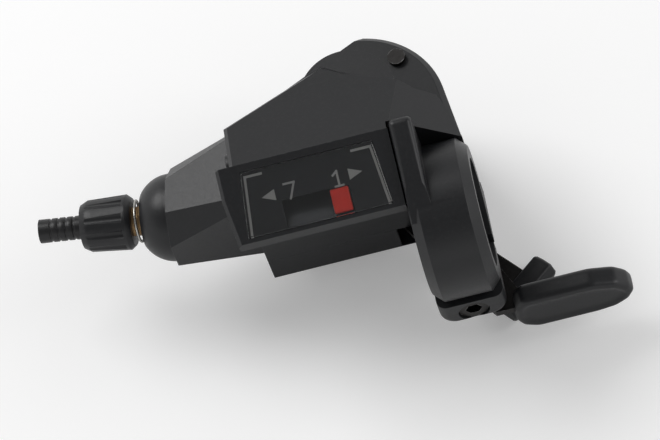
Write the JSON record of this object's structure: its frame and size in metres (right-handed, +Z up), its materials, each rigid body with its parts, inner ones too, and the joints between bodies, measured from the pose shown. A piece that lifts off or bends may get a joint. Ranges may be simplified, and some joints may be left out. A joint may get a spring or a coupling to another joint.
{
  "type": "thumb shifter",
  "caption": "Right-hand trigger thumb shifter for a handlebar: split clamp, angular casing, sloping gear window, thumb paddle, release trigger and barrel cable adjuster.",
  "frame": {"origin": "on the handlebar's axis at the middle of the clamp's width", "axes": "+X along the bar towards the grip, +Y forward away from the rider, +Z up, parallel to the main axle"},
  "size_m": [0.1157, 0.0603, 0.0565],
  "materials": {
    "case_plastic": "satin",
    "grip_plastic": "satin",
    "inner_plastic": "satin",
    "pointer_red": "gloss",
    "scale": "satin",
    "lens": "gloss",
    "steel": "satin",
    "black_steel": "satin",
    "spring_wire": "satin",
    "bronze": "satin",
    "ferrule": "satin"
  },
  "bodies": {
    "housing": {"clamp_band": "case_plastic", "clamp_bolt": "black_steel", "clamp_nut": "steel", "band_screws": "steel", "lower_casing": "case_plastic", "top_cover": "case_plastic", "bottom_cover": "case_plastic", "cable_plug": "case_plastic", "cable_nose": "case_plastic", "indicator_housing": "case_plastic", "indicator_lens": "lens", "scale_plate": "scale", "main_axle": "steel", "axle_nut": "steel", "axle_bridge": "steel", "top_plate": "steel", "base_plate": "steel", "plate_pillars": "steel", "pillar_screws": "black_steel", "hold_pawl_pin": "steel", "winder_spring": "spring_wire", "lever_spring": "spring_wire", "release_spring": "spring_wire", "hold_pawl_spring": "spring_wire", "adjuster_spring": "spring_wire"},
    "winder": {"cable_drum": "inner_plastic", "ratchet_wheel": "steel", "indicator_gear": "inner_plastic"},
    "slider": {"rack_slider": "inner_plastic", "pointer_flag": "pointer_red"},
    "main_lever": {"lever_plate": "black_steel", "lever_paddle": "grip_plastic", "lever_bush": "bronze", "drive_pawl_pin": "steel", "drive_pawl_spring": "spring_wire"},
    "drive_pawl": {"drive_pawl": "steel"},
    "hold_pawl": {"hold_pawl": "steel"},
    "release_lever": {"release_plate": "black_steel", "release_pad": "grip_plastic"},
    "ferrule": {"cable_ferrule": "ferrule"},
    "adjuster": {"adjuster_knob": "grip_plastic", "adjuster_barrel": "bronze"}
  },
  "joints": [
    {"name": "winder_turn", "type": "hinge", "parent": "housing", "child": "winder", "pos_m": [-0.014, 0.0266, 0], "axis": [0, 0, 1], "range_deg": [-90, 0], "deforming": ["winder_spring"]},
    {"name": "pointer_slide", "type": "slide", "parent": "housing", "child": "slider", "axis": [1, 0, 0], "range_m": [-0.00944, 0]},
    {"name": "lever_push", "type": "hinge", "parent": "housing", "child": "main_lever", "pos_m": [-0.014, 0.0266, 0], "axis": [0, 0, 1], "range_deg": [0, 45], "stiffness_Nm_per_rad": 0.05, "springref_deg": -11.46, "deforming": ["lever_spring"]},
    {"name": "drive_pawl_swing", "type": "hinge", "parent": "main_lever", "child": "drive_pawl", "pos_m": [0.00015, 0.02536, -0.0186], "axis": [0, 0, -1], "range_deg": [-7, 12], "stiffness_Nm_per_rad": 0.005, "springref_deg": -8.59, "deforming": ["drive_pawl_spring"]},
    {"name": "hold_pawl_swing", "type": "hinge", "parent": "housing", "child": "hold_pawl", "pos_m": [-0.02734, 0.03146, -0.0186], "axis": [0, 0, -1], "range_deg": [-7, 12], "stiffness_Nm_per_rad": 0.005, "springref_deg": -8.59, "deforming": ["hold_pawl_spring"]},
    {"name": "release_push", "type": "hinge", "parent": "housing", "child": "release_lever", "pos_m": [-0.014, 0.0266, 0], "axis": [0, 0, 1], "range_deg": [0, 12], "stiffness_Nm_per_rad": 0.05, "springref_deg": -5.73, "deforming": ["release_spring"]},
    {"name": "ferrule_slide", "type": "slide", "parent": "housing", "child": "ferrule", "axis": [-0.9877, 0.1564, 0], "range_m": [0, 0.00321], "deforming": ["adjuster_spring"]},
    {"name": "adjuster_turn", "type": "hinge", "parent": "ferrule", "child": "adjuster", "pos_m": [-0.0671, 0.02377, -0.01], "axis": [-0.9877, 0.1564, 0], "range_deg": [0, 1440]}
  ],
  "couplings": [
    {"joint": "pointer_slide", "follows": "winder_turn", "m_per_rad": 0.006},
    {"joint": "ferrule_slide", "follows": "adjuster_turn", "m_per_rad": 0.00012732}
  ]
}
